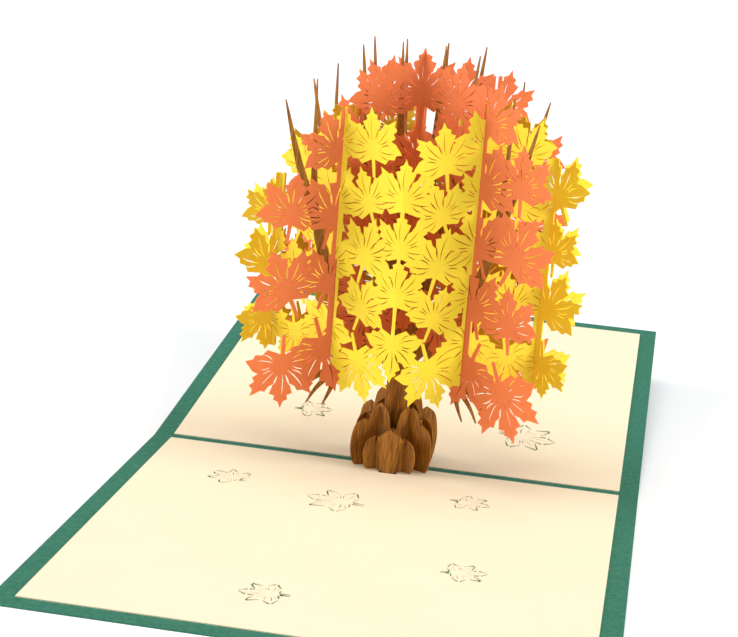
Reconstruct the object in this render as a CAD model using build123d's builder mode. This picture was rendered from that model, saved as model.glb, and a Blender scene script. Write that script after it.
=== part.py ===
# Pop up card: a folded card with a paper maple tree that stands on its fold when the card is open.
# X runs along the fold, -Y is towards the viewer and +Z is up.
# The origin lies under the middle of the fold, on the face that the card rests on.
import os
from math import atan2, cos, degrees, radians, sin, tan

from build123d import *

os.makedirs("parts", exist_ok=True)

# Sizes of the card, in millimetres and degrees
fold_length = 150.0
half_depth = 150.0
back_lift = 7.0
cover_stock = 0.5
liner_stock = 0.3
cover_border = 5.8
fold_strip = 1.8

# The squashed lattice: sheets run along two directions, half a cell is lattice_x by lattice_y
lattice_x = 20.0
lattice_y = 11.0
paper = 0.3
sheet_play = 0.06
slot_play = 0.12
rib_strip = 3.2
rib_inset = 1.0

# Leaves: width over the side lobes, distance between columns and rows
yellow_leaf = 18.6
yellow_column = 12.1
yellow_row = 15.8
orange_leaf = 21.5
orange_column = 12.4
orange_row = 18.5
leaf_swing = 25.0
leaf_spread = 0.10

# Heights of the leaf sheets' tops and bottoms along them, as (place, height)
yellow_tops = [
    (-49, 84), (-37, 100), (-25, 110), (-12, 110), (0, 97), (12, 108), (25, 112), (37, 110), (49, 98),
]
yellow_bottoms = [(-49, 34), (-37, 31), (-24, 37), (-12, 28), (0, 36), (12, 28), (24, 36), (37, 31), (49, 29)]
yellow_reach = 48.4
orange_tops = [(-38, 89), (-25, 109), (-12, 124), (0, 126), (12, 125), (25, 121), (38, 104)]
orange_bottoms = [(-38, 23), (-25, 28), (-12, 38), (0, 44), (12, 38), (25, 27), (38, 22)]
orange_reach = 37.2

# Trunk and branches, measured on a trunk sheet from the tree's axis
trunk_width = 9.4
trunk_waist = 30.0
trunk_top = 86.0
trunk_taper = 0.4
twig_tip = 0.8
slot_middle = 66.0

# Branches on one side of the trunk, as (points from root to tip, width at the root)
branches = [
    ([(2.5, 48), (5, 88), (7, 130)], 5.0),
    ([(2.5, 44), (13, 82), (16, 104), (19, 129)], 5.0),
    ([(3, 36), (21, 56), (30, 80), (32, 119)], 5.5),
    ([(29, 76), (36, 95), (41, 113)], 3.2),
    ([(3, 40), (12, 38), (21, 31)], 3.5),
    ([(20, 32), (28, 28), (31, 27)], 2.0),
    ([(20, 32), (26, 28), (29, 22)], 2.0),
    ([(20, 32), (21, 28), (24, 21)], 2.0),
]

# Pot: a small lattice parallel to the tree's, with petals front and back
pot_x = 4.35
pot_petal = 8.0
pot_rib_tops = [12.0, 14.0, 21.0, 17.0]
pot_trunk_tops = [16.0, 20.0, 14.0, 25.0, 19.0]
pot_band = 5.0
pot_middle = 7.0
pot_slot_top = 24.0
front_petal = 11.7
front_petal_height = 15.0
pot_seat = 0.2
tab_width = 5.6
tab_play = 0.3

# Dashed leaf outlines cut into the liners, as (place along the fold, distance from it, width, turn)
cut_width = 0.4
dash_share = 0.7
shortest_edge = 0.24
front_cuts = [(-42, 33, 13, 60), (-8, 42, 18, 80), (26, 28, 12.5, 70), (-12, 120, 13.5, 95), (31, 87, 13, 75)]
back_cuts = [(-33, 35, 12.5, -80), (36, 34, 19, -100)]

# Worked out from the sizes above
run_angle = atan2(lattice_y, lattice_x)
pot_y = pot_x * tan(run_angle)
liner_depth = half_depth - cover_border - fold_strip
liner_top = cover_stock + liner_stock
pair_stock = 2 * paper + sheet_play
pair_offset = (paper + sheet_play) / 2
fold_overrun = paper / 2 * tan(run_angle)


# The tree stands on the fold and leans forward by half the lift, midway between the two halves
lean = radians(back_lift) / 2
tree_base = Plane(origin=(0, 0, 0), x_dir=(1, 0, 0), z_dir=(0, -sin(lean), cos(lean)))


def upright(y, side):
    """A sheet's plane through the distance y behind the tree's axis, along one of the lattice's directions."""
    run = tree_base.x_dir * cos(run_angle) + tree_base.y_dir * side * sin(run_angle)
    return Plane(origin=tree_base.origin + tree_base.y_dir * y, x_dir=run, z_dir=run.cross(tree_base.z_dir))


def meet(plane, other):
    """Distance along one sheet's plane to its crossing with another."""
    gap = other.origin - plane.origin
    up = tree_base.z_dir
    return gap.cross(other.x_dir).dot(up) / plane.x_dir.cross(other.x_dir).dot(up)


def slot_width(stock):
    """Slot that lets a sheet of this thickness through at the lattice's crossing angle."""
    crossing = 2 * run_angle
    return (stock + 2 * slot_play) / sin(crossing) + paper / tan(crossing)


def level(heights, x):
    """Height at a place along a sheet, between the given ones."""
    for (near, start), (far, end) in zip(heights, heights[1:]):
        if x <= far:
            return start + (end - start) * (x - near) / (far - near)
    return heights[-1][1]


# One half of a maple leaf from its top to its stalk, as shares of the leaf's width
leaf_half = [
    (0.00, 0.62), (0.15, 0.41), (0.11, 0.27), (0.44, 0.42), (0.34, 0.12),
    (0.52, -0.07), (0.25, -0.20), (0.035, -0.15), (0.035, -0.42),
]


def leaf_outline(x, z, width, turn):
    """Corner points of a maple leaf about its hub, turned by so many degrees."""
    half = [(width * px, width * pz) for px, pz in leaf_half]
    whole = half + [(-px, pz) for px, pz in reversed(half[1:])]
    c = cos(radians(turn))
    s = sin(radians(turn))
    return [(x + px * c - pz * s, z + px * s + pz * c) for px, pz in whole]


def leaf_places(columns, tops, bottoms, width, row):
    """Hub, width and turn of each leaf, column by column, with a natural unevenness."""
    for number, x in enumerate(columns):
        top = level(tops, x) - 0.5 * width
        bottom = level(bottoms, x) + 0.5 * width
        rows = max(2, round((top - bottom) / row) + 1)
        for k in range(rows):
            z = bottom + (top - bottom) * k / (rows - 1)
            swing = 0 if x == 0 else leaf_swing * sin(2.3 * number + 1.7 * k)
            turn = 180 + swing if k == 0 else swing
            size = width * (1 + leaf_spread * sin(1.3 * number + 2.9 * k))
            yield x, z, size, turn


def draw_leaves(columns, tops, bottoms, width, row):
    """The joined leaves of a sheet, drawn in the sketch that calls it."""
    for place in leaf_places(columns, tops, bottoms, width, row):
        Polygon(*leaf_outline(*place), align=None)


def draw_strip(x, low, high, width):
    """An upright strip of a sheet."""
    with Locations((x, (low + high) / 2)):
        Rectangle(width, high - low)


def draw_ribs(plane, crossings, tops, bottoms):
    """Upright strips that carry the leaves beside each slot."""
    for other, stock, from_top in crossings:
        x = meet(plane, other)
        draw_strip(x, level(bottoms, x) + rib_inset, level(tops, x) - rib_inset, rib_strip)


def cut_slots(plane, crossings, middle, above):
    """Half slots for the sheets that cross a plane, from the middle down, or up to the height above."""
    for other, stock, from_top in crossings:
        low = middle if from_top else 0
        high = above if from_top else middle
        with Locations((meet(plane, other), (low + high) / 2)):
            Rectangle(slot_width(stock), high - low, mode=Mode.SUBTRACT)


def draw_branch(path, root, tip):
    """A branch along a path of points, as wide as root at its start and tip at its end."""
    left = []
    right = []
    last = len(path) - 1
    for k, (x, z) in enumerate(path):
        ax, az = path[max(k - 1, 0)]
        bx, bz = path[min(k + 1, last)]
        along = Vector(bx - ax, bz - az, 0).normalized()
        half = (root + (tip - root) * k / last) / 2
        left.append((x - along.Y * half, z + along.X * half))
        right.append((x + along.Y * half, z - along.X * half))
    Polygon(*left, *reversed(right), align=None)


# One flank of a pot petal, from its foot to just under its point, as shares of its width and height
petal_half = [(0.30, 0.0), (0.44, 0.14), (0.50, 0.38), (0.46, 0.60), (0.31, 0.83)]


def draw_petal(x, top, width):
    """A pot petal: round flanks that rise from the liner to a point."""
    base = liner_top + pot_seat
    rise = top - base
    right = [(x + share * width, base + up * rise) for share, up in petal_half]
    left = [(2 * x - px, pz) for px, pz in reversed(right)]
    Polygon(*right, (x, top), *left, align=None)


# The cover's upper faces, which the liners lie on
rise = radians(back_lift)
front_face = Plane(origin=(0, 0, cover_stock))
back_face = Plane(
    origin=(0, -cover_stock * tan(rise / 2), cover_stock),
    x_dir=(1, 0, 0),
    z_dir=(0, -sin(rise), cos(rise)),
)


def trim_foot(height):
    """Cut away what reaches lower than this height above the cover's two faces."""
    for face, side in ((front_face, -1), (back_face, 1)):
        with BuildSketch(face.offset(height)) as ground:
            with Locations((0, side * half_depth / 2)):
                Rectangle(fold_length, half_depth)
        extrude(ground.sketch, amount=-half_depth / 4, mode=Mode.SUBTRACT)


def save(part, name):
    """Label a finished piece and write its file."""
    part.label = name
    export_step(part, f"parts/{name}.step")
    print(name, "solids", len(part.solids()), "faces", len(part.faces()))


# Sheets' planes on the two diagonals
tree_1 = upright(0, 1)
tree_2 = upright(0, -1)

# Cover: one card folded at the middle, its back half raised
with BuildPart() as cover:
    with BuildSketch(Plane.YZ):
        with BuildLine():
            back_edge = Vector(half_depth * cos(rise), half_depth * sin(rise))
            back_top = back_edge + Vector(-sin(rise), cos(rise)) * cover_stock
            Polyline(
                (-half_depth, 0),
                (0, 0),
                back_edge,
                back_top,
                (back_face.origin.Y, cover_stock),
                (-half_depth, cover_stock),
                close=True,
            )
        make_face()
    extrude(amount=fold_length / 2, both=True)
save(cover.part, "cover")


def cut_leaf(x, y, width, turn):
    """The dashed outline of a leaf, cut through a liner."""
    outline = [Vector(*point) for point in leaf_outline(x, y, width, turn)]
    for start, end in zip(outline, outline[1:] + outline[:1]):
        dash = end - start
        if dash.length > shortest_edge * width:
            with Locations(Location(tuple(start + dash * 0.5), degrees(atan2(dash.Y, dash.X)))):
                Rectangle(dash_share * dash.length, cut_width, mode=Mode.SUBTRACT)


def draw_liner(side):
    """A liner's outline and tab slot; side is -1 in front of the fold and 1 behind it."""
    with Locations((0, side * (fold_strip + liner_depth / 2))):
        Rectangle(fold_length - 2 * cover_border, liner_depth)
    reach = 4 * pot_y - tab_width / 2 * sin(run_angle) / 2
    with Locations((0, side * reach)):
        Rectangle(
            tab_width * cos(run_angle) + 2 * tab_play,
            tab_width / 2 * sin(run_angle) + paper + 2 * tab_play,
            mode=Mode.SUBTRACT,
        )
    for x, y, width, turn in front_cuts if side < 0 else back_cuts:
        cut_leaf(x, side * y, width, turn)


with BuildPart() as front_liner:
    with BuildSketch(front_face):
        draw_liner(-1)
    extrude(amount=liner_stock)
save(front_liner.part, "front_liner")

with BuildPart() as back_liner:
    with BuildSketch(back_face):
        draw_liner(1)
    extrude(amount=liner_stock)
save(back_liner.part, "back_liner")


def draw_yellow_wing(plane, side, crossings):
    """One wing of a yellow sheet on its standing plane; side is the sign of x along the plane."""
    count = round(yellow_reach / yellow_column)
    columns = [side * yellow_column * k for k in range(count + 1)]
    draw_leaves(columns, yellow_tops, yellow_bottoms, yellow_leaf, yellow_row)
    draw_ribs(plane, crossings, yellow_tops, yellow_bottoms)
    with Locations((-side * (fold_overrun + yellow_leaf), half_depth / 2)):
        Rectangle(2 * yellow_leaf, 2 * half_depth, mode=Mode.SUBTRACT)
    cut_slots(plane, crossings, slot_middle, half_depth)


# Yellow leaf sheets: each is folded to a V at its middle, and its wings pass the diagonals and each other
for name, side, from_top in (("yellow_leaf_sheet_front", 1, False), ("yellow_leaf_sheet_back", -1, True)):
    fold_y = -side * 2 * lattice_y
    with BuildPart() as sheet:
        wing = upright(fold_y, 1)
        with BuildSketch(wing):
            draw_yellow_wing(wing, side, [(tree_2, pair_stock, False), (upright(-fold_y, -1), paper, from_top)])
        extrude(amount=paper / 2, both=True)
        wing = upright(fold_y, -1)
        with BuildSketch(wing):
            draw_yellow_wing(wing, -side, [(tree_1, pair_stock, False), (upright(-fold_y, 1), paper, from_top)])
        extrude(amount=paper / 2, both=True)
    save(sheet.part, name)

# Orange leaf sheets on the diagonals, in front of the trunk sheets and face to face with them
for name, plane, cross, turn, from_top in (
    ("orange_leaf_sheet_1", tree_1, tree_2, -1, True),
    ("orange_leaf_sheet_2", tree_2, tree_1, 1, False),
):
    front = plane.offset(pair_offset)
    crossings = [
        (cross, pair_stock, from_top),
        (upright(-2 * lattice_y, turn), paper, True),
        (upright(2 * lattice_y, turn), paper, True),
    ]
    with BuildPart() as sheet:
        with BuildSketch(front):
            count = round(orange_reach / orange_column)
            columns = [orange_column * k for k in range(-count, count + 1)]
            draw_leaves(columns, orange_tops, orange_bottoms, orange_leaf, orange_row)
            draw_ribs(front, crossings, orange_tops, orange_bottoms)
            cut_slots(front, crossings, slot_middle, half_depth)
        extrude(amount=paper / 2, both=True)
    save(sheet.part, name)


def draw_branches(side):
    """Branches and twigs on one side of the trunk."""
    for path, root in branches:
        draw_branch([(side * x, z) for x, z in path], root, twig_tip)


def draw_pot_row(heights, first):
    """A row of pot petals from one crossing to the next along a rib."""
    pitch = pot_x / cos(run_angle)
    for k, top in enumerate(heights):
        draw_petal(pitch * (first + k), top, pot_petal)
    last = first + len(heights) - 1
    low = pot_middle - pot_band / 2
    draw_strip(pitch * (first + last) / 2, low, low + pot_band, pitch * (last - first))


# Trunk sheets: trunk, branches, hanging twigs and the pot's middle rib, one behind each orange sheet
for name, plane, cross, turn, from_top in (
    ("trunk_sheet_1", tree_1, tree_2, -1, True),
    ("trunk_sheet_2", tree_2, tree_1, 1, False),
):
    back = plane.offset(-pair_offset)
    tree_crossings = [
        (cross, pair_stock, from_top),
        (upright(-2 * lattice_y, turn), paper, True),
        (upright(2 * lattice_y, turn), paper, True),
    ]
    pot_crossings = [(upright(y, turn), paper, from_top) for y in (-2 * pot_y, 2 * pot_y)]
    with BuildPart() as sheet:
        with BuildSketch(back):
            draw_branch([(0, liner_top), (0, trunk_waist), (0, trunk_top)], trunk_width, trunk_taper * trunk_width)
            draw_branches(1)
            draw_branches(-1)
            draw_pot_row(pot_trunk_tops if from_top else pot_trunk_tops[::-1], -2)
            cut_slots(back, tree_crossings, slot_middle, half_depth)
            cut_slots(back, pot_crossings, pot_middle, pot_slot_top)
        extrude(amount=paper / 2, both=True)
        trim_foot(liner_stock + pot_seat)
    save(sheet.part, name)

# Pot ribs: two each way, with a fin that reaches the petal in front or behind
trunk_1 = tree_1.offset(-pair_offset)
trunk_2 = tree_2.offset(-pair_offset)
for name, end, way in (("pot_rib_1", -1, 1), ("pot_rib_2", 1, 1), ("pot_rib_3", -1, -1), ("pot_rib_4", 1, -1)):
    plane = upright(end * 2 * pot_y, way)
    from_top = way > 0
    crossings = [
        (trunk_2 if way > 0 else trunk_1, paper, from_top),
        (upright(-2 * pot_y, -way), paper, from_top),
        (upright(2 * pot_y, -way), paper, from_top),
        (upright(end * 4 * pot_y, -way), paper, True),
    ]
    with BuildPart() as rib:
        with BuildSketch(plane):
            if end * way < 0:
                draw_pot_row(pot_rib_tops, -1)
            else:
                draw_pot_row(pot_rib_tops[::-1], -2)
            cut_slots(plane, crossings, pot_middle, pot_slot_top)
        extrude(amount=paper / 2, both=True)
        trim_foot(liner_stock + pot_seat)
    save(rib.part, name)

# Pot petals: folded at the middle, slotted on the ribs' fins, each with a tab down to the cover
for name, end in (("pot_petal_front", -1), ("pot_petal_back", 1)):
    with BuildPart() as petal:
        for way in (1, -1):
            plane = upright(end * 4 * pot_y, way)
            side = -end * way
            with BuildSketch(plane):
                draw_petal(0, front_petal_height, front_petal)
                with Locations((-side * (fold_overrun + front_petal / 2), front_petal_height / 2)):
                    Rectangle(front_petal, 2 * front_petal_height, mode=Mode.SUBTRACT)
                cut_slots(plane, [(upright(end * 2 * pot_y, -way), paper, False)], pot_middle, pot_slot_top)
            extrude(amount=paper / 2, both=True)
        trim_foot(liner_stock + pot_seat)
        for way in (1, -1):
            side = -end * way
            with BuildSketch(upright(end * 4 * pot_y, way)):
                draw_strip(side * (tab_width / 4 - fold_overrun / 2), 0, pot_middle / 2, tab_width / 2 + fold_overrun)
            extrude(amount=paper / 2, both=True)
        trim_foot(0)
    save(petal.part, name)
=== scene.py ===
"""An open pop up card: a green folded cover with cream liners and a slotted paper maple tree on its fold."""
from math import atan2, cos, radians, sin, tan

import bpy
from mathutils import Matrix, Vector


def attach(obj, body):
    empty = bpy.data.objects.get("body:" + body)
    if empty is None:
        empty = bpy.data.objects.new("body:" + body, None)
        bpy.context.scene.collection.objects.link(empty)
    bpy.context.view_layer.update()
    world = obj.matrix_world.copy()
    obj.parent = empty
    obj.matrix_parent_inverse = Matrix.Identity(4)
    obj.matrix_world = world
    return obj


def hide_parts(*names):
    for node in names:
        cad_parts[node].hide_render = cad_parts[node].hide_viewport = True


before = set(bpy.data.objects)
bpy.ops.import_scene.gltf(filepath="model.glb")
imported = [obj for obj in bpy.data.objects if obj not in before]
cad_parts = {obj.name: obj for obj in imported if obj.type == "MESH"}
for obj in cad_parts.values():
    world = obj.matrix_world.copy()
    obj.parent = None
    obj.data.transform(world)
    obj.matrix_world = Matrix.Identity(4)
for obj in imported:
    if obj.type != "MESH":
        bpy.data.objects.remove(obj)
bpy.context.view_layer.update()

# Sizes as the solids have them, in millimetres; a finished piece is scaled to metres
mm = 0.001
fold_length = 150.0
half_depth = 150.0
back_lift = 7.0
cover_stock = 0.5
cover_rounding = 0.12
liner_stock = 0.3
cover_border = 5.8
fold_strip = 1.8
liner_depth = half_depth - cover_border - fold_strip
liner_top = cover_stock + liner_stock

# The squashed lattice that the tree's sheets make
lattice_x = 20.0
lattice_y = 11.0
paper = 0.3
sheet_play = 0.06
slot_play = 0.12
rib_strip = 3.2
rib_inset = 1.0
run_angle = atan2(lattice_y, lattice_x)
pair_stock = 2 * paper + sheet_play
pair_offset = (paper + sheet_play) / 2
slot_middle = 66.0
slot_end = half_depth
slot_foot = -1.0

# How deep a cutter is, so that it passes through any sheet, and how near a sheet's middle a point is on its fold
cutter = 4.0
near_fold = 1e-4

# Leaves: width, distance between columns and rows, and the heights of each sheet's top and bottom
yellow_leaf = 18.6
yellow_column = 12.1
yellow_row = 15.8
yellow_tops = [
    (-49, 84), (-37, 100), (-25, 110), (-12, 110), (0, 97), (12, 108), (25, 112), (37, 110), (49, 98),
]
yellow_bottoms = [(-49, 34), (-37, 31), (-24, 37), (-12, 28), (0, 36), (12, 28), (24, 36), (37, 31), (49, 29)]
yellow_reach = 48.4
orange_leaf = 21.5
orange_column = 12.4
orange_row = 18.5
orange_tops = [(-38, 89), (-25, 109), (-12, 124), (0, 126), (12, 125), (25, 121), (38, 104)]
orange_bottoms = [(-38, 23), (-25, 28), (-12, 38), (0, 44), (12, 38), (25, 27), (38, 22)]
orange_reach = 37.2
leaf_swing = 25.0
leaf_spread = 0.10

# The swing and the width of a leaf follow sines that move on by so many radians from column to column and row to row
swing_steps = (2.3, 1.7)
spread_steps = (1.3, 2.9)

# Trunk, branches and pot; a branch is a path, its width at the root and its width at the tip
trunk_width = 9.4
trunk_waist = 30.0
trunk_top = 86.0
trunk_taper = 0.4
branches = [
    ([(2.5, 48), (5, 88), (7, 130)], 5.0, 0.3),
    ([(2.5, 44), (13, 82), (16, 104), (19, 129)], 5.0, 0.3),
    ([(3, 36), (21, 56), (30, 80), (32, 119)], 5.5, 0.3),
    ([(29, 76), (36, 95), (41, 113)], 3.2, 0.3),
    ([(3, 40), (12, 38), (21, 31)], 3.5, 2.0),
    ([(18, 33.8), (24, 31.4), (28, 29), (31, 26)], 2.6, 0.3),
    ([(19, 32.6), (23, 29.6), (26.5, 26), (29, 22)], 2.4, 0.3),
    ([(18, 33.2), (20.5, 29), (22, 25), (24, 21)], 2.4, 0.3),
]
# A branch thins with this power of the share of its length
branch_taper = 1.3
# Distance of the pot's petals along the fold, across it and along a rib, and their widths and heights
pot_x = 4.35
pot_y = pot_x * tan(run_angle)
pot_pitch = pot_x / cos(run_angle)
pot_petal = 8.0
pot_rib_tops = [12.0, 14.0, 21.0, 17.0]
pot_trunk_tops = [16.0, 20.0, 14.0, 25.0, 19.0]
pot_band = 5.0
pot_middle = 7.0
pot_slot_top = 24.0
pot_seat = 0.2
front_petal = 11.7
front_petal_height = 15.0
tab_width = 5.6
tab_play = 0.3

# Leaves cut into the liners, as (place along the fold, distance from it, width, turn)
front_cuts = [(-42, 33, 13, 60), (-8, 42, 18, 80), (26, 28, 12.5, -100), (-12, 120, 13.5, 95), (31, 87, 13, -75)]
back_cuts = [(-33, 35, 12.5, -80), (36, 34, 19, -100)]
stroke_width = 1.15

# A stroke's ends as shares of the edge it follows, its narrow end as a share of its wide one, and how far the strokes
# across the fold gape as a share of those along it
stroke_from = 0.10
stroke_to = 0.85
stroke_tip = 0.45
least_gape = 0.4

# The tree leans forward by half the back half's lift
rise = radians(back_lift)
lean = rise / 2
across = Vector((1, 0, 0))
back = Vector((0, cos(lean), sin(lean)))
up = Vector((0, -sin(lean), cos(lean)))
front_normal = Vector((0, 0, 1))
back_normal = Vector((0, -sin(rise), cos(rise)))

# Where the measures of the cover's two halves start on its upper face
front_start = Vector((0, 0, cover_stock))
back_start = Vector((0, -cover_stock * tan(lean), cover_stock))


# Planes of the sheets: a place in millimetres, a direction along the sheet and the way its front faces

def upright(y, side, forward=0.0):
    """A standing plane through the distance y behind the axis, moved forward by so much."""
    run = across * cos(run_angle) + back * side * sin(run_angle)
    front = run.cross(up)
    return back * y + front * forward, run, front


def meet(plane, other):
    """Distance along one standing plane to its crossing with another."""
    gap = other[0] - plane[0]
    return gap.cross(other[1]).dot(up) / plane[1].cross(other[1]).dot(up)


def slot_width(stock):
    """Slot for a sheet of this thickness at the lattice's crossing angle."""
    crossing = 2 * run_angle
    return (stock + 2 * slot_play) / sin(crossing) + paper / tan(crossing)


def level(heights, x):
    """Height at a place along a sheet, between the given ones."""
    for (near, start), (far, end) in zip(heights, heights[1:]):
        if x <= far:
            return start + (end - start) * (x - near) / (far - near)
    return heights[-1][1]


# Working on meshes

def deselect():
    """Leaves nothing selected, since an operator acts on all that is."""
    bpy.ops.object.select_all(action="DESELECT")


def cut_shape(name, points, stock):
    """A flat shape cut from a sheet: x along it, z up it, and its stock on both sides of y 0."""
    deselect()
    bpy.ops.mesh.primitive_circle_add(vertices=len(points), fill_type="NGON")
    shape = bpy.context.active_object
    shape.name = name
    for vertex, (x, z) in zip(shape.data.vertices, points):
        vertex.co = (x, -stock / 2, z)
    bpy.ops.object.mode_set(mode="EDIT")
    bpy.ops.mesh.select_all(action="SELECT")
    bpy.ops.mesh.extrude_region_move(TRANSFORM_OT_translate={"value": (0, stock, 0)})
    bpy.ops.mesh.select_all(action="SELECT")
    bpy.ops.mesh.normals_make_consistent(inside=False)
    bpy.ops.object.mode_set(mode="OBJECT")
    return shape


def copy_at(shape, x, z, width, turn):
    """A copy of a shape with its own mesh, so wide, turned by so many degrees and moved to its place."""
    copy = bpy.data.objects.new(shape.name, shape.data.copy())
    bpy.context.scene.collection.objects.link(copy)
    place = Matrix.Translation((x, 0, z)) @ Matrix.Rotation(-radians(turn), 4, "Y")
    copy.data.transform(place @ Matrix.Diagonal((width, 1, width, 1)))
    return copy


def join(shapes, name):
    """Several shapes as one object."""
    deselect()
    for shape in shapes:
        shape.select_set(True)
    bpy.context.view_layer.objects.active = shapes[0]
    bpy.ops.object.join()
    shapes[0].name = name
    return shapes[0]


def combine(shape, tool, operation):
    """Adds a tool's solids to a shape, or cuts them out of it."""
    step = shape.modifiers.new(operation, "BOOLEAN")
    step.operation = operation
    step.solver = "EXACT"
    step.use_self = True
    step.object = tool
    deselect()
    bpy.context.view_layer.objects.active = shape
    bpy.ops.object.modifier_apply(modifier=step.name)
    bpy.data.objects.remove(tool)


def strip(x, low, high, width, stock):
    """An upright strip."""
    half = width / 2
    return cut_shape("strip", [(x - half, low), (x + half, low), (x + half, high), (x - half, high)], stock)


def keep_largest(shape):
    """Drops the small bits that slots and cuts leave loose, and gives back the sheet."""
    deselect()
    shape.select_set(True)
    bpy.context.view_layer.objects.active = shape
    bpy.ops.mesh.separate(type="LOOSE")
    parts = list(bpy.context.selected_objects)
    largest = max(parts, key=lambda part: len(part.data.vertices))
    for part in parts:
        if part is not largest:
            bpy.data.objects.remove(part)
    return largest


def slots(plane, crossings, middle, top):
    """Cutters for the half slots: from the middle to the top, or from the middle down."""
    made = []
    for other, stock, from_top in crossings:
        low = middle if from_top else slot_foot
        high = top if from_top else middle
        made.append(strip(meet(plane, other), low, high, slot_width(stock), cutter))
    return made


def crease(shape):
    """An edge down the middle of a flat sheet, where it is folded."""
    deselect()
    bpy.context.view_layer.objects.active = shape
    shape.select_set(True)
    bpy.ops.object.mode_set(mode="EDIT")
    bpy.ops.mesh.select_all(action="SELECT")
    bpy.ops.mesh.bisect(plane_co=(0, 0, 0), plane_no=(1, 0, 0))
    bpy.ops.object.mode_set(mode="OBJECT")


def stand(shape, plane, top=up):
    """Puts a flat sheet on its plane, with its upper edge towards the top, still in millimetres."""
    place, run, front = plane
    for vertex in shape.data.vertices:
        x, y, z = vertex.co
        vertex.co = place + run * x - front * y + top * z


def fold(shape, y):
    """Stands a creased sheet as a V with its fold at the distance y behind the axis, still in millimetres."""
    turn = -1 if y > 0 else 1
    wings = {1: upright(y, turn), -1: upright(y, -turn)}
    for vertex in shape.data.vertices:
        x, depth, z = vertex.co
        if abs(x) < near_fold:
            vertex.co = back * (y + depth / cos(run_angle)) + up * z
        else:
            place, run, front = wings[1 if x > 0 else -1]
            vertex.co = place + run * x - front * depth + up * z


def seat(shape):
    """Lifts what reaches into the liners to just above them; a tab goes down to the cover."""
    for vertex in shape.data.vertices:
        start, normal = (back_start, back_normal) if vertex.co.y > 0 else (front_start, front_normal)
        height = (vertex.co - start).dot(normal)
        tab = vertex.co.dot(up) < cover_stock + liner_stock / 2
        lowest = 0.0 if tab else liner_stock + pot_seat
        if height < lowest:
            vertex.co += up * ((lowest - height) / up.dot(normal))


def finish_piece(shape, name, body, node, materials):
    """Scales a piece to metres, names it, gives it its materials and puts it in its node's place."""
    shape.name = name
    shape.data.name = name
    shape.data.transform(Matrix.Scale(mm, 4))
    shape.data.materials.clear()
    for material in materials:
        shape.data.materials.append(material)
    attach(shape, body)
    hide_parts(node)


def mark_cut_edges(shape):
    """The narrow faces across the stock take the second material; call it while the sheet is flat."""
    for face in shape.data.polygons:
        face.material_index = 0 if abs(face.normal.y) > 0.5 else 1


# Leaves: half the outline of one that is a unit wide, with its hub at 0 and its tip up

leaf_half = [
    (0, 0.62), (0.035, 0.53), (0.10, 0.50), (0.085, 0.44), (0.165, 0.41), (0.135, 0.33), (0.115, 0.27),
    (0.19, 0.31), (0.235, 0.38), (0.29, 0.36), (0.44, 0.43), (0.41, 0.34), (0.46, 0.28), (0.385, 0.23),
    (0.42, 0.17), (0.34, 0.12), (0.42, 0.08), (0.53, -0.07), (0.42, -0.09), (0.39, -0.15), (0.29, -0.145),
    (0.22, -0.22), (0.11, -0.18), (0.03, -0.15), (0.022, -0.42),
]
leaf_whole = leaf_half + [(-x, z) for x, z in reversed(leaf_half[1:])]

# Veins of a leaf one unit wide, as (angle, length of the middle slit)
vein_lobes = [(90, 0.50), (47, 0.47), (133, 0.47), (-9, 0.41), (189, 0.41)]
vein_start = 0.09
vein_width = 0.015
side_vein_turn = 15
side_vein_flare = 4
side_vein_start = 0.14
side_vein_end = 0.34
vein_bow = 0.02


def sliver(start, end, bow, width):
    """A thin curved slit between two points, widest in the middle."""
    along = Vector(end) - Vector(start)
    across_it = Vector((-along.y, along.x)).normalized()
    upper = []
    lower = []
    for share in (1 / 3, 2 / 3):
        middle = Vector(start) + along * share + across_it * bow
        upper.append(tuple(middle + across_it * width / 2))
        lower.append(tuple(middle - across_it * width / 2))
    return [tuple(start), *lower, tuple(end), *reversed(upper)]


def polar(angle, distance):
    """The point at an angle in degrees and a distance from the hub."""
    return distance * cos(radians(angle)), distance * sin(radians(angle))


def leaf_veins():
    """All the slits of a leaf one unit wide."""
    made = []
    for number, (angle, length) in enumerate(vein_lobes):
        bow = vein_bow * (-1) ** number
        made.append(sliver(polar(angle, vein_start), polar(angle, length), bow, vein_width))
        for hand in (1, -1):
            near = polar(angle + hand * side_vein_turn, side_vein_start)
            far = polar(angle + hand * (side_vein_turn + side_vein_flare), side_vein_end)
            made.append(sliver(near, far, hand * vein_bow, vein_width))
    return join([cut_shape("vein", points, cutter) for points in made], "veins")


def leaf_places(columns, tops, bottoms, width, row):
    """Hub, width and turn of each leaf; a column is its number and its place, and its lowest leaf points down."""
    for number, x in columns:
        top = level(tops, x) - 0.5 * width
        bottom = level(bottoms, x) + 0.5 * width
        rows = max(2, round((top - bottom) / row) + 1)
        for k in range(rows):
            z = bottom + (top - bottom) * k / (rows - 1)
            swing = 0 if x == 0 else leaf_swing * sin(swing_steps[0] * number + swing_steps[1] * k)
            turn = 180 + swing if k == 0 else swing
            size = width * (1 + leaf_spread * sin(spread_steps[0] * number + spread_steps[1] * k))
            yield x, z, size, turn


def leaf_sheet(name, places, ribs, cuts):
    """A flat sheet of joined leaves and ribs, with its veins and slots cut out."""
    places = list(places)
    sheet = join([copy_at(leaf_master, *place) for place in places], name)
    combine(sheet, join(ribs, "ribs"), "UNION")
    veins = [copy_at(vein_master, *place) for place in places]
    combine(sheet, join(veins + cuts, "cuts"), "DIFFERENCE")
    return keep_largest(sheet)


def ribs_at(plane, crossings, tops, bottoms):
    """The upright strips beside a leaf sheet's slots."""
    made = []
    for other, stock, from_top in crossings:
        x = meet(plane, other)
        low = level(bottoms, x) + rib_inset
        high = level(tops, x) - rib_inset
        made.append(strip(x, low, high, rib_strip, paper))
    return made


# Smooth outlines for wood and petals

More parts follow.
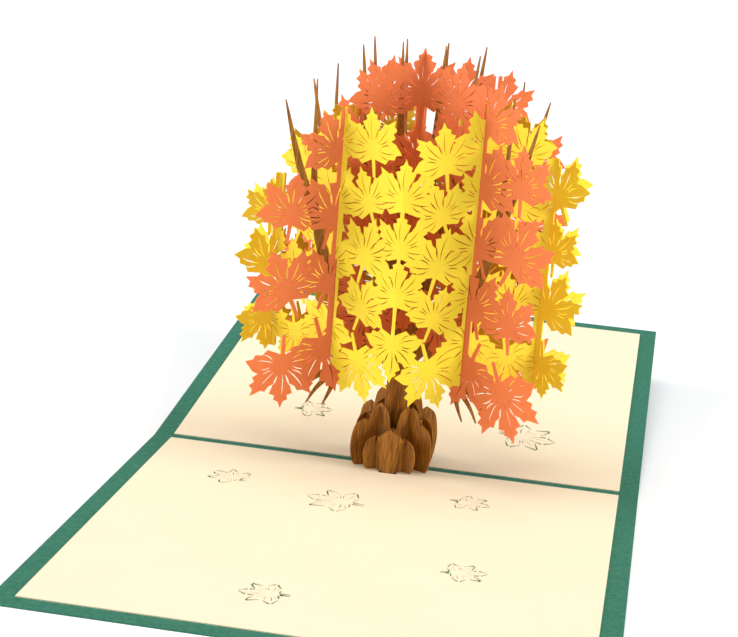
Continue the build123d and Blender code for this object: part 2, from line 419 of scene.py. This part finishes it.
def smooth(points, steps=4):
    """More points on a smooth curve through the given ones."""
    made = []
    last = len(points) - 1
    for k in range(last):
        a, b, c, d = [Vector(points[min(max(k + j, 0), last)]) for j in (-1, 0, 1, 2)]
        for step in range(steps):
            t = step / steps
            made.append(
                0.5 * (2 * b + (c - a) * t + (2 * a - 5 * b + 4 * c - d) * t**2 + (3 * b - 3 * c + d - a) * t**3)
            )
    made.append(Vector(points[last]))
    return made


def branch(path, root, tip):
    """A branch along a smooth path, as wide as root at its start and tip at its end."""
    middle = smooth(path)
    left = []
    right = []
    last = len(middle) - 1
    for k, point in enumerate(middle):
        along = (middle[min(k + 1, last)] - middle[max(k - 1, 0)]).normalized()
        half = (root + (tip - root) * (k / last) ** branch_taper) / 2
        side = Vector((-along.y, along.x)) * half
        left.append(tuple(point + side))
        right.append(tuple(point - side))
    return cut_shape("branch", left + right[::-1], paper)


# Half outlines of pot petals, as shares of width and height: round ones, and the pointed ones in front and behind
arch_half = [(0.27, 0.0), (0.42, 0.14), (0.50, 0.40), (0.48, 0.63), (0.34, 0.88), (0.0, 1.0)]
point_half = [(0.28, 0.0), (0.42, 0.14), (0.50, 0.40), (0.44, 0.62), (0.26, 0.84), (0.0, 1.0)]


def petal_outline(x, top, width, foot, half):
    """A pot petal's outline: round flanks that rise to its top; foot is what closes it below."""
    base = liner_top + pot_seat
    flank = smooth([(share * width, base + part * (top - base)) for share, part in half])
    right = [(x + px, pz) for px, pz in flank]
    left = [(x - px, pz) for px, pz in flank[-2::-1]]
    return right + left + foot


def pot_row(heights, first):
    """A row of pot petals and the band that joins them."""
    made = []
    for k, top in enumerate(heights):
        outline = petal_outline(pot_pitch * (first + k), top, pot_petal, [], arch_half)
        made.append(cut_shape("petal", outline, paper))
    last = first + len(heights) - 1
    low = pot_middle - pot_band / 2
    made.append(strip(pot_pitch * (first + last) / 2, low, low + pot_band, pot_pitch * (last - first), paper))
    return made


# Materials

def srgb(code):
    """A hex colour as linear red, green, blue and alpha."""
    shares = [int(code[k:k + 2], 16) / 255 for k in (1, 3, 5)]
    return tuple(c / 12.92 if c <= 0.04045 else ((c + 0.055) / 1.055) ** 2.4 for c in shares) + (1.0,)


def add(tree, kind, output, inputs, **settings):
    """Adds one node with its settings and links, and gives back an output; an input is a value or an output."""
    node = tree.nodes.new(kind)
    for key, value in settings.items():
        setattr(node, key, value)
    for key, value in inputs.items():
        if isinstance(value, bpy.types.NodeSocket):
            tree.links.new(value, node.inputs[key])
        else:
            node.inputs[key].default_value = value
    return node.outputs[output]


def blank_material(name):
    """A new material, its node tree, its shader and the piece's own place in metres."""
    material = bpy.data.materials.new(name)
    material.use_nodes = True
    tree = material.node_tree
    place = add(tree, "ShaderNodeTexCoord", "Object", {})
    return material, tree, tree.nodes["Principled BSDF"], place


def coloured_paper(name, light, dark, cloud=9.0, fibre=0.35):
    """Paper dyed in the pulp and rolled smooth; clouds in the dye and fibres are so many millimetres across.

    Real fibres are about ten times finer. They are drawn as coarse as they need to be to show.
    """
    material, tree, shader, place = blank_material(name)
    clouds = add(tree, "ShaderNodeTexNoise", "Fac", {"Vector": place, "Scale": 1 / (cloud * mm), "Detail": 3.0})
    fibres = add(tree, "ShaderNodeTexNoise", "Fac", {"Vector": place, "Scale": 1 / (fibre * mm), "Detail": 4.0})
    share = add(tree, "ShaderNodeMath", 0, {0: clouds, 1: fibres}, operation="MULTIPLY")
    colour = add(tree, "ShaderNodeMix", 2, {0: share, 6: srgb(light), 7: srgb(dark)}, data_type="RGBA")
    roughness = add(tree, "ShaderNodeMapRange", "Result", {"Value": fibres, "To Min": 0.55, "To Max": 0.75})
    relief = add(tree, "ShaderNodeBump", "Normal", {"Height": fibres, "Strength": 0.25, "Distance": 0.03 * mm})
    shader.inputs["Specular IOR Level"].default_value = 0.3
    tree.links.new(colour, shader.inputs["Base Color"])
    tree.links.new(roughness, shader.inputs["Roughness"])
    tree.links.new(relief, shader.inputs["Normal"])
    return material


def grained_paper(name, light, dark, grain, fibre=0.3, grain_length=20):
    """Paper with an upright grain so many millimetres wide and so many times as long; its fibres are drawn coarse."""
    material, tree, shader, place = blank_material(name)
    drawn_out = add(tree, "ShaderNodeMapping", "Vector", {"Vector": place, "Scale": (1.0, 1.0, 1 / grain_length)})
    streaks = add(tree, "ShaderNodeTexNoise", "Fac", {"Vector": drawn_out, "Scale": 1 / (grain * mm), "Detail": 4.0})
    fibres = add(tree, "ShaderNodeTexNoise", "Fac", {"Vector": place, "Scale": 1 / (fibre * mm), "Detail": 3.0})
    share = add(tree, "ShaderNodeMapRange", "Result", {"Value": streaks, "From Min": 0.35, "From Max": 0.65})
    colour = add(tree, "ShaderNodeMix", 2, {0: share, 6: srgb(light), 7: srgb(dark)}, data_type="RGBA")
    roughness = add(tree, "ShaderNodeMapRange", "Result", {"Value": fibres, "To Min": 0.5, "To Max": 0.7})
    height = add(tree, "ShaderNodeMath", 0, {0: streaks, 1: fibres}, operation="ADD")
    relief = add(tree, "ShaderNodeBump", "Normal", {"Height": height, "Strength": 0.4, "Distance": 0.05 * mm})
    shader.inputs["Specular IOR Level"].default_value = 0.3
    tree.links.new(colour, shader.inputs["Base Color"])
    tree.links.new(roughness, shader.inputs["Roughness"])
    tree.links.new(relief, shader.inputs["Normal"])
    return material


def felt_card(name, light, dark, mottle=1.1, pebble=0.6):
    """Card pressed between felts, with a mottled dye and a soft pebble so many millimetres across."""
    material, tree, shader, place = blank_material(name)
    patches = add(tree, "ShaderNodeTexNoise", "Fac", {"Vector": place, "Scale": 1 / (mottle * mm), "Detail": 3.0})
    bumps = add(tree, "ShaderNodeTexNoise", "Fac", {"Vector": place, "Scale": 1 / (pebble * mm), "Detail": 2.0})
    share = add(tree, "ShaderNodeMapRange", "Result", {"Value": patches, "From Min": 0.3, "From Max": 0.7})
    colour = add(tree, "ShaderNodeMix", 2, {0: share, 6: srgb(light), 7: srgb(dark)}, data_type="RGBA")
    roughness = add(tree, "ShaderNodeMapRange", "Result", {"Value": bumps, "To Min": 0.6, "To Max": 0.85})
    relief = add(tree, "ShaderNodeBump", "Normal", {"Height": bumps, "Strength": 0.5, "Distance": 0.06 * mm})
    shader.inputs["Specular IOR Level"].default_value = 0.25
    tree.links.new(colour, shader.inputs["Base Color"])
    tree.links.new(roughness, shader.inputs["Roughness"])
    tree.links.new(relief, shader.inputs["Normal"])
    return material


# Dyed in the pulp and rolled smooth: one strong yellow with faint clouds, and next to no gloss
yellow_paper = coloured_paper("yellow_paper", "#FCE53C", "#EEC112")
# The heat of the cut browns the edge, so a darker line goes round each yellow leaf
yellow_cut = coloured_paper("yellow_paper_cut_edge", "#C79A1C", "#A67A14")
# The same paper in orange, a little deeper where the pulp lay thicker
orange_paper = coloured_paper("orange_paper", "#EE7F48", "#D26026")
# Its cut edge is browned too, and reads as a red-brown line
orange_cut = coloured_paper("orange_paper_cut_edge", "#C8542A", "#A8421E")
# Paper whose long fibres all lie upright: light and dark streaks that look like wood, with a slight sheen
brown_paper = grained_paper("brown_grained_paper", "#AE721C", "#744206", 0.35)
# Only its faces are coloured, so a cut shows the pale core as a light line along each petal
brown_cut = coloured_paper("brown_paper_cut_edge", "#F2D8A4", "#DCB878")
# Uncoated card: a warm white, almost even over a hand's width, and quite matt
cream_card = coloured_paper("cream_card", "#F2E4C6", "#EADABA", 30.0, 0.5)
# Scorched by the cut, and darker still with painted shade for the shadow down inside the slits, so the leaf outlines
# read as fine dark strokes
cream_cut_scorch_and_shade = coloured_paper("cream_card_cut_edge_scorch_and_shade", "#4E4426", "#3A321A")
# Pressed between felts while wet: a mottled green and a soft pebble that breaks up the light
green_card = felt_card("green_felt_card", "#3B7A64", "#2C6853")


# Cover and liners

def make_cover():
    """The cover: one card, creased at the middle, its edges a little rounded."""
    back_foot = Vector((half_depth * cos(rise), half_depth * sin(rise)))
    back_top = back_foot + Vector((-sin(rise), cos(rise))) * cover_stock
    profile = [
        (-half_depth, 0), (0, 0), tuple(back_foot), tuple(back_top),
        (back_start.y, cover_stock), (-half_depth, cover_stock),
    ]
    cover = cut_shape("cover", profile, fold_length)
    cover.data.transform(Matrix.Rotation(radians(90), 4, "Z"))
    soften = cover.modifiers.new("soften", "BEVEL")
    soften.width = cover_rounding
    soften.segments = 2
    soften.limit_method = "ANGLE"
    bpy.context.view_layer.objects.active = cover
    bpy.ops.object.modifier_apply(modifier=soften.name)
    finish_piece(cover, "green_cover", "root", "cover", [green_card])


# Half the simple outline that the strokes of a liner's leaf follow, one unit wide
motif_half = [
    (0, 0.62), (0.15, 0.41), (0.11, 0.27), (0.44, 0.42), (0.34, 0.12), (0.52, -0.07), (0.25, -0.20), (0.035, -0.15),
    (0.035, -0.42),
]


def stroke(start, end, thick, thin):
    """A straight cut, wide at its start and narrow at its end."""
    along = (end - start).normalized()
    aside = Vector((-along.y, along.x)) / 2
    near = start.lerp(end, stroke_from)
    far = start.lerp(end, stroke_to)
    corners = [near + aside * thick, near - aside * thick, far - aside * thin, far + aside * thin]
    return [tuple(corner) for corner in corners]


def motif_cutters(x, z, width, turn):
    """Short cuts that draw a leaf: a tapered one along each edge of its outline, and its veins.

    The card gapes more at the cuts that run along the fold.
    """
    made = []
    for hand in (1, -1):
        for number, (start, end) in enumerate(zip(motif_half, motif_half[1:])):
            ends = [Vector((hand * px, pz)) for px, pz in ((start, end) if number % 2 else (end, start))]
            run = ends[1] - ends[0]
            gape = least_gape + (1 - least_gape) * abs(cos(atan2(run.y, run.x) + radians(turn)))
            thick = stroke_width * gape / width
            made.append(cut_shape("dash", stroke(*ends, thick, stroke_tip * thick), cutter))
    dashes = join(made, "dashes")
    placed = [copy_at(dashes, x, z, width, turn), copy_at(vein_master, x, z, width, turn)]
    bpy.data.objects.remove(dashes)
    return placed


def make_liner(name, side, cuts):
    """A cream sheet glued on one half, with its leaves and the slot for a petal's tab cut out."""
    half = fold_length / 2 - cover_border
    near = side * fold_strip
    far = side * (fold_strip + liner_depth)
    liner = cut_shape(name, [(-half, near), (half, near), (half, far), (-half, far)], liner_stock)
    cutters = []
    for x, z, width, turn in cuts:
        cutters += motif_cutters(x, side * z, width, turn)
    slot_half = tab_width * cos(run_angle) / 2 + tab_play
    slot_at = side * (4 * pot_y - tab_width / 2 * sin(run_angle) / 2)
    slot_reach = (tab_width / 2 * sin(run_angle) + paper) / 2 + tab_play
    cutters.append(strip(0, slot_at - slot_reach, slot_at + slot_reach, 2 * slot_half, cutter))
    combine(liner, join(cutters, "cuts"), "DIFFERENCE")
    liner = keep_largest(liner)
    mark_cut_edges(liner)
    along = Vector((0, 1, 0)) if side < 0 else Vector((0, cos(rise), sin(rise)))
    normal = across.cross(along)
    place = (front_start if side < 0 else back_start) + normal * liner_stock / 2
    stand(liner, (place, across, normal), along)
    node = "front_liner" if side < 0 else "back_liner"
    # The cut edges take the dark colour: real scorching plus painted shade for the shadow inside the slits
    finish_piece(liner, name, "root", node, [cream_card, cream_cut_scorch_and_shade])


leaf_master = cut_shape("leaf", leaf_whole, paper)
vein_master = leaf_veins()

make_cover()
make_liner("front_cream_liner", -1, front_cuts)
make_liner("back_cream_liner", 1, back_cuts)

# The middle planes of the tree's two diagonals
tree_1 = upright(0, 1)
tree_2 = upright(0, -1)

# Yellow leaf sheets: cut flat, then folded to a V in front of the axis or behind it
for name, side, from_top in (("front", 1, False), ("back", -1, True)):
    fold_y = -side * 2 * lattice_y
    count = round(yellow_reach / yellow_column)
    columns = [(abs(k), yellow_column * k) for k in range(-count, count + 1)]
    ribs = []
    cuts = []
    for wing in (1, -1):
        plane = upright(fold_y, side * wing)
        crossings = [
            (tree_2 if side * wing > 0 else tree_1, pair_stock, False),
            (upright(-fold_y, -side * wing), paper, from_top),
        ]
        ribs += ribs_at(plane, crossings, yellow_tops, yellow_bottoms)
        cuts += slots(plane, crossings, slot_middle, slot_end)
    places = leaf_places(columns, yellow_tops, yellow_bottoms, yellow_leaf, yellow_row)
    sheet = leaf_sheet("yellow", places, ribs, cuts)
    mark_cut_edges(sheet)
    crease(sheet)
    fold(sheet, fold_y)
    finish_piece(
        sheet, f"yellow_leaves_{name}", "root", f"yellow_leaf_sheet_{name}",
        [yellow_paper, yellow_cut],
    )

# Orange leaf sheets on the diagonals, and the trunk sheet behind each
for number, side, from_top in ((1, 1, True), (2, -1, False)):
    cross = upright(0, -side)
    passing = [
        (cross, pair_stock, from_top),
        (upright(-2 * lattice_y, -side), paper, True),
        (upright(2 * lattice_y, -side), paper, True),
    ]
    front = upright(0, side, pair_offset)
    count = round(orange_reach / orange_column)
    columns = [(k + count, orange_column * k) for k in range(-count, count + 1)]
    places = leaf_places(columns, orange_tops, orange_bottoms, orange_leaf, orange_row)
    sheet = leaf_sheet(
        "orange",
        places,
        ribs_at(front, passing, orange_tops, orange_bottoms),
        slots(front, passing, slot_middle, slot_end),
    )
    mark_cut_edges(sheet)
    stand(sheet, front)
    finish_piece(
        sheet, f"orange_leaves_{number}", "root", f"orange_leaf_sheet_{number}",
        [orange_paper, orange_cut],
    )

    behind = upright(0, side, -pair_offset)
    wood = [branch([(0, liner_top), (0, trunk_waist), (0, trunk_top)], trunk_width, trunk_taper * trunk_width)]
    for hand in (1, -1):
        for path, root, tip in branches:
            wood.append(branch([(hand * x, z) for x, z in path], root, tip))
    row = pot_row(pot_trunk_tops if from_top else pot_trunk_tops[::-1], -2)
    trunk = join(wood, "trunk")
    combine(trunk, join(row, "row"), "UNION")
    pot_passing = [(upright(y, -side), paper, from_top) for y in (-2 * pot_y, 2 * pot_y)]
    cuts = slots(behind, passing, slot_middle, slot_end) + slots(behind, pot_passing, pot_middle, pot_slot_top)
    combine(trunk, join(cuts, "cuts"), "DIFFERENCE")
    mark_cut_edges(trunk)
    stand(trunk, behind)
    seat(trunk)
    finish_piece(
        trunk, f"brown_trunk_{number}", "root", f"trunk_sheet_{number}",
        [brown_paper, brown_cut],
    )

# Pot ribs: two each way
trunk_1 = upright(0, 1, -pair_offset)
trunk_2 = upright(0, -1, -pair_offset)
for number, end, way in ((1, -1, 1), (2, 1, 1), (3, -1, -1), (4, 1, -1)):
    plane = upright(end * 2 * pot_y, way)
    from_top = way > 0
    crossings = [
        (trunk_2 if way > 0 else trunk_1, paper, from_top),
        (upright(-2 * pot_y, -way), paper, from_top),
        (upright(2 * pot_y, -way), paper, from_top),
        (upright(end * 4 * pot_y, -way), paper, True),
    ]
    row = pot_row(pot_rib_tops, -1) if end * way < 0 else pot_row(pot_rib_tops[::-1], -2)
    rib = join(row[:-1], "rib")
    combine(rib, row[-1], "UNION")
    combine(rib, join(slots(plane, crossings, pot_middle, pot_slot_top), "cuts"), "DIFFERENCE")
    mark_cut_edges(rib)
    stand(rib, plane)
    seat(rib)
    finish_piece(
        rib, f"brown_pot_rib_{number}", "root", f"pot_rib_{number}",
        [brown_paper, brown_cut],
    )

# Pot petals in front and behind, each with a tab through its liner
for name, end in (("front", -1), ("back", 1)):
    base = liner_top + pot_seat
    tab = tab_width / 2
    foot = [(-tab, base), (-tab, cover_stock), (tab, cover_stock), (tab, base)]
    petal = cut_shape("petal", petal_outline(0, front_petal_height, front_petal, foot, point_half), paper)
    cuts = []
    for way in (1, -1):
        plane = upright(end * 4 * pot_y, way)
        cuts += slots(plane, [(upright(end * 2 * pot_y, -way), paper, False)], pot_middle, pot_slot_top)
    combine(petal, join(cuts, "cuts"), "DIFFERENCE")
    mark_cut_edges(petal)
    crease(petal)
    fold(petal, end * 4 * pot_y)
    seat(petal)
    finish_piece(
        petal, f"brown_pot_petal_{name}", "root", f"pot_petal_{name}",
        [brown_paper, brown_cut],
    )

bpy.data.objects.remove(leaf_master)
bpy.data.objects.remove(vein_master)

# Floor, light and camera

# In metres: how wide the floor is, far wider than the view, and how little it lies below the card
floor_width = 16.0
floor_drop = 0.02 * mm

# Seamless studio paper: an even white with no gloss, in which only soft shade shows
floor_paper = coloured_paper("white_floor", "#FBFCFD", "#F9FAFC", 400.0, 40.0)


def make_floor():
    """A plain white sheet under the card."""
    deselect()
    bpy.ops.mesh.primitive_plane_add(size=floor_width, location=(0, 0, 0))
    floor = bpy.context.active_object
    floor.name = "floor"
    floor.data.transform(Matrix.Translation((0, 0, -floor_drop)))
    floor.data.materials.append(floor_paper)


def make_light(name, azimuth, elevation, strength, softness):
    """A far light, with angles in degrees; azimuth 0 is in front of the card and 90 at its right."""
    lamp = bpy.data.lights.new(name, "SUN")
    lamp.energy = strength
    lamp.angle = radians(softness)
    light = bpy.data.objects.new(name, lamp)
    bpy.context.scene.collection.objects.link(light)
    around = radians(azimuth)
    above = radians(elevation)
    towards = Vector((sin(around) * cos(above), -cos(around) * cos(above), sin(above)))
    light.rotation_euler = towards.to_track_quat("Z", "Y").to_euler()


def make_world(overhead, level_with):
    """A white studio, brighter overhead than level with the card."""
    world = bpy.data.worlds.new("studio")
    bpy.context.scene.world = world
    world.use_nodes = True
    tree = world.node_tree
    background = tree.nodes["Background"]
    background.inputs["Color"].default_value = (1.0, 1.0, 1.0, 1.0)
    towards = add(tree, "ShaderNodeTexCoord", "Generated", {})
    height = add(tree, "ShaderNodeSeparateXYZ", "Z", {"Vector": towards})
    strength = add(tree, "ShaderNodeMapRange", "Result", {"Value": height, "To Min": level_with, "To Max": overhead})
    tree.links.new(strength, background.inputs["Strength"])


# The photograph's view, from its fit to the card's corners: turned left, tipped down and rolled, in radians, from a
# place in metres; the lens is in the picture's own pixels
picture_width = 738
focal_pixels = 1948.6
sensor = 36.0
nearest = 0.01
view_turn = -0.14648
view_tip = 0.22528
view_roll = 0.0857
view_place = (0.07253, -0.56583, 0.1763)


def make_camera():
    """The camera at the photograph's place."""
    lens = bpy.data.cameras.new("camera")
    lens.sensor_width = sensor
    lens.lens = focal_pixels / picture_width * sensor
    lens.clip_start = nearest
    camera = bpy.data.objects.new("camera", lens)
    bpy.context.scene.collection.objects.link(camera)
    ahead = Vector((sin(view_turn) * cos(view_tip), cos(view_turn) * cos(view_tip), -sin(view_tip)))
    level_right = Vector((cos(view_turn), -sin(view_turn), 0))
    level_up = level_right.cross(ahead)
    right = level_right * cos(view_roll) + level_up * sin(view_roll)
    top = level_up * cos(view_roll) - level_right * sin(view_roll)
    turn = Matrix((right, top, -ahead)).transposed()
    camera.matrix_world = Matrix.Translation(view_place) @ turn.to_4x4()
    bpy.context.scene.camera = camera


make_floor()
make_light("left_light", azimuth=-82, elevation=17, strength=2.7, softness=30)
make_light("right_light", azimuth=84, elevation=17, strength=2.7, softness=30)
make_light("top_light", azimuth=0, elevation=82, strength=1.6, softness=60)
make_world(overhead=0.4, level_with=0.12)
make_camera()
bpy.context.scene.view_settings.view_transform = "Standard"

bpy.context.view_layer.update()
